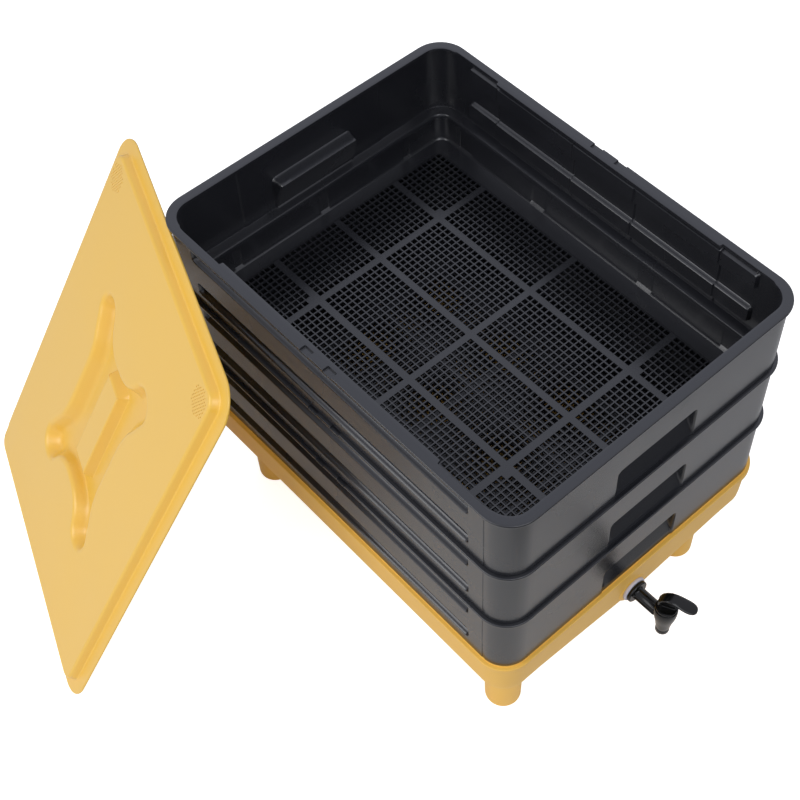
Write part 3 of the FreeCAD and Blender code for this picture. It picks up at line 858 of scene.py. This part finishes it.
def lid_pose():
    """The lid stands on a short edge and leans on the corner of the top tray, just under its rim."""
    turn = math.radians(LID_TURN)
    lean = math.acos((RIM_TOP - LID_BELOW_RIM) / (2 * HALF_Y))
    u = Vector((math.cos(turn), math.sin(turn), 0))
    level = Vector((-math.sin(turn), math.cos(turn), 0))
    v = level * math.sin(lean) + Vector((0, 0, math.cos(lean)))
    n = u.cross(v)
    corner = Vector((-STRAIGHT_X, STRAIGHT_Y, 0)) - level * (RIM_R - WALL_OUT)
    reach = 2 * HALF_Y * math.sin(lean) + LID_T * math.cos(lean) + LID_GAP
    middle = corner - level * reach + u * LID_SIDEWAYS + Vector((0, 0, LID_T * n.z)) + v * HALF_Y
    return lambda p: tuple(middle + u * p[0] + v * p[1] + n * p[2])


def make_lid():
    stand = lid_pose()
    verts, faces = join([lid_skin(), lid_under()])
    lid = make_object("lid_cover", ([stand(p) for p in verts], faces), lid_plastic, sharp=40)
    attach(lid, "lid")
    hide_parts("lid")


make_lid()


# Tap

def make_washer():
    back = WASHER_BACK
    profile = [(9.3, back), (14.6, back), (15.2, back + 0.3), (15.5, back + 0.9), (15.5, PAD_Y - 0.9),
               (15.2, PAD_Y - 0.3), (14.6, PAD_Y), (9.3, PAD_Y), (9.3, back)]
    washer = make_object("tap_seal", lathe(profile, (0, 0, TAP_Z), "y"), seal_rubber)
    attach(washer, "base")
    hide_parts("tap_washer")


def make_valve():
    """Stub, flange, barrel with its two ribs, cup and nozzle."""
    stub_end, back = -245.4, WASHER_BACK
    barrel = [(0, stub_end), (8.6, stub_end), (9.0, stub_end - 0.5), (9.0, back - 0.1),
              (13.2, back - 0.1), (13.7, back - 0.6), (13.8, back - 1.4), (13.8, back - 3.6),
              (13.5, back - 4.3), (12.8, back - 4.8), (9.0, back - 4.8), (8.0, back - 5.6),
              (7.3, back - 7.0), (7.1, CUP_Y + 8.0)]
    cup = [(3.6, 120.0), (3.6, 106.3), (6.9, 106.3), (7.5, 106.5), (7.8, 107.1), (7.8, 112.0),
           (7.6, 112.8), (7.4, 113.6), (7.8, 115.0), (8.5, 119.0), (9.5, 126.0), (10.9, 133.0),
           (12.1, 138.6), (12.7, 143.6), (12.9, 147.0), (12.9, 152.6), (12.6, 153.6), (11.8, 154.0),
           (0, 154.0)]
    tall, thin = 8.2, 1.2
    skin = join([
        lathe(barrel, (0, 0, TAP_Z), "y"),
        lathe(cup, (0, CUP_Y, 0), "z"),
        slab(-tall, tall, CUP_Y + 10, back - 4.0, TAP_Z - thin, TAP_Z + thin, 0.5),
        slab(-thin, thin, CUP_Y + 10, back - 4.0, TAP_Z - tall, TAP_Z + tall, 0.5),
    ])
    valve = make_object("tap_valve", skin, tap_plastic)
    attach(valve, "base")
    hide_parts("tap_body")


def lever_skin():
    """Arched lever that ends in a rounded paddle, drawn along -Y from the middle of the cup."""
    # place along Y, height, width and thickness
    sections = [(6.4, 156.4, 8.0, 5.2), (7.8, 162.5, 8.8, 5.0), (7.6, 168.4, 9.8, 4.8),
                (5.6, 172.8, 10.6, 4.6), (2.0, 175.6, 11.6, 4.4), (-2.5, 176.6, 12.8, 4.3),
                (-7.5, 175.8, 14.0, 4.2), (-12.5, 173.8, 15.2, 4.1), (-17.5, 171.4, 16.0, 4.0),
                (-22.0, 169.6, 16.2, 3.9), (-26.0, 168.3, 15.2, 3.7), (-29.2, 167.5, 12.8, 3.3),
                (-31.2, 167.0, 9.2, 2.8), (-32.3, 166.8, 4.6, 2.1)]
    ring, last = 16, len(sections) - 1
    verts, faces = [], []
    points = [Vector((0, y, z)) for y, z, _, _ in sections]
    for i, (_, _, wide, thick) in enumerate(sections):
        along = (points[min(i + 1, last)] - points[max(i - 1, 0)]).normalized()
        up = Vector((1, 0, 0)).cross(along)
        for k in range(ring):
            c, s = math.cos(2 * math.pi * k / ring), math.sin(2 * math.pi * k / ring)
            across = wide / 2 * math.copysign(abs(c) ** 0.6, c)
            over = thick / 2 * math.copysign(abs(s) ** 0.8, s)
            verts.append(tuple(points[i] + Vector((across, 0, 0)) + up * over))
    for i in range(last):
        for k in range(ring):
            n = (k + 1) % ring
            faces.append((i * ring + k, i * ring + n, (i + 1) * ring + n, (i + 1) * ring + k))
    faces.append(tuple(range(ring)))
    faces.append(tuple(last * ring + k for k in reversed(range(ring))))
    return verts, faces


def turned_key(p):
    """Turns a point of the key to the pictured angle and sets it over the cup."""
    a = math.radians(KEY_TURN)
    c, s = math.cos(a), math.sin(a)
    return (p[0] * c - p[1] * s, CUP_Y + p[0] * s + p[1] * c, p[2])


def make_key():
    """Plug and cap, the bar across the cap, and the lever."""
    plug = [(0, 120.4), (5.7, 120.4), (5.75, 121.0), (5.75, 154.3), (11.3, 154.3), (11.8, 154.7),
            (12.0, 155.3), (12.0, 156.6), (11.7, 157.2), (11.0, 157.5), (9.0, 157.5), (8.4, 157.1),
            (0, 157.1)]
    verts, faces = join([
        lathe(plug, (0, 0, 0), "z"),
        slab(-3.2, 3.2, -9.4, 9.4, 156.0, 160.4, 1.0),
        lever_skin(),
    ])
    key = make_object("tap_lever", ([turned_key(p) for p in verts], faces), tap_plastic)
    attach(key, "tap_key")
    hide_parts("tap_key")


def dress_nodes():
    """The inner washer and the nut keep their own solids."""
    for name, material in (("tap_inner_washer", seal_rubber), ("tap_nut", tap_plastic)):
        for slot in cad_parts[name].material_slots:
            slot.material = material


dress_nodes()
make_washer()
make_valve()
make_key()


# Camera, light and floor, in metres

def make_camera():
    data = bpy.data.cameras.new("camera")
    data.lens = 67.8756
    data.sensor_width = 36.0
    data.shift_x = -0.025564
    data.shift_y = -0.010772
    data.clip_end = 50.0
    camera = bpy.data.objects.new("camera", data)
    camera.location = (-0.67513, -0.72426, 1.59617)
    camera.rotation_euler = (0.630437, 0.026703, -0.730153)
    bpy.context.collection.objects.link(camera)
    bpy.context.scene.camera = camera


def math_node(tree, operation, first, second):
    node = tree.nodes.new("ShaderNodeMath")
    node.operation = operation
    tree.links.new(first, node.inputs[0])
    tree.links.new(second, node.inputs[1])
    return node.outputs[0]


def make_world():
    """White for the camera and for reflections, and a softer, slightly blue light on the object."""
    world = bpy.data.worlds.new("studio")
    bpy.context.scene.world = world
    world.use_nodes = True
    tree = world.node_tree
    background = tree.nodes["Background"]
    rays = tree.nodes.new("ShaderNodeLightPath").outputs
    seen = math_node(tree, "MAXIMUM", rays["Is Camera Ray"], rays["Is Glossy Ray"])
    strength = map_range(tree, seen, (0.0, 1.0), (0.5, 1.0))
    tree.links.new(strength, background.inputs["Strength"])
    tint = mix_colours(tree, rays["Is Camera Ray"], (0.88, 0.90, 1.0), (1.0, 1.0, 1.0))
    tree.links.new(tint, background.inputs["Color"])


def lamp(name, place, target, size, power, colour):
    data = bpy.data.lights.new(name, "AREA")
    data.shape = "SQUARE"
    data.size = size
    data.energy = power
    data.color = colour
    obj = bpy.data.objects.new(name, data)
    obj.location = place
    obj.rotation_euler = (Vector(target) - Vector(place)).to_track_quat("-Z", "Y").to_euler()
    bpy.context.collection.objects.link(obj)


def floor_paint():
    """Pale floor colour, painted dark in front of the object as painted shade, so the walls facing it
    reflect and catch less light; the camera sees it white.
    """
    mat = bpy.data.materials.new("floor_white")
    mat.use_nodes = True
    tree = mat.node_tree
    shade = tree.nodes["Principled BSDF"]
    shade.inputs["Roughness"].default_value = 0.9
    shade.inputs["Specular IOR Level"].default_value = 0.0
    place = tree.nodes.new("ShaderNodeTexCoord").outputs["Object"]
    split = tree.nodes.new("ShaderNodeSeparateXYZ")
    tree.links.new(place, split.inputs[0])
    # Painted shade: in front of the object (y below -0.45 m) the floor's colour turns dark grey,
    # though the camera sees it white.
    front = map_range(tree, split.outputs["Y"], (-0.45, -0.64), (0.0, 1.0), "SMOOTHSTEP")
    floor_colour_with_painted_shade = mix_colours(tree, front, (0.88, 0.87, 0.84), (0.12, 0.12, 0.12))
    tree.links.new(floor_colour_with_painted_shade, shade.inputs["Base Color"])
    seen = tree.nodes.new("ShaderNodeLightPath").outputs["Is Camera Ray"]
    glow = tree.nodes.new("ShaderNodeEmission")
    # The glow for the camera is stronger where the painted shade is, so that part still reads white.
    strength = math_node(tree, "MULTIPLY", seen, map_range(tree, front, (0.0, 1.0), (0.78, 1.0)))
    tree.links.new(strength, glow.inputs["Strength"])
    add = tree.nodes.new("ShaderNodeAddShader")
    tree.links.new(shade.outputs[0], add.inputs[0])
    tree.links.new(glow.outputs[0], add.inputs[1])
    tree.links.new(add.outputs[0], tree.nodes["Material Output"].inputs["Surface"])
    return mat


def make_floor():
    mesh = bpy.data.meshes.new("floor")
    mesh.from_pydata([(-6, -6, 0), (6, -6, 0), (6, 6, 0), (-6, 6, 0)], [], [(0, 1, 2, 3)])
    mesh.materials.append(floor_paint())
    floor = bpy.data.objects.new("floor", mesh)
    bpy.context.collection.objects.link(floor)


make_camera()
make_world()
lamp("key_lamp", (-0.5, -2.0, 2.2), (0, 0, 0.3), 1.6, 24, (0.95, 0.97, 1.0))
lamp("side_lamp", (-2.3, 0.5, 1.9), (-0.3, 0.2, 0.2), 1.8, 35, (1.0, 1.0, 1.0))
lamp("sky_lamp", (1.15, 1.25, 2.4), (0, 0, 0.45), 2.2, 3, (0.6, 0.7, 1.0))
make_floor()
bpy.context.scene.view_settings.view_transform = "Standard"
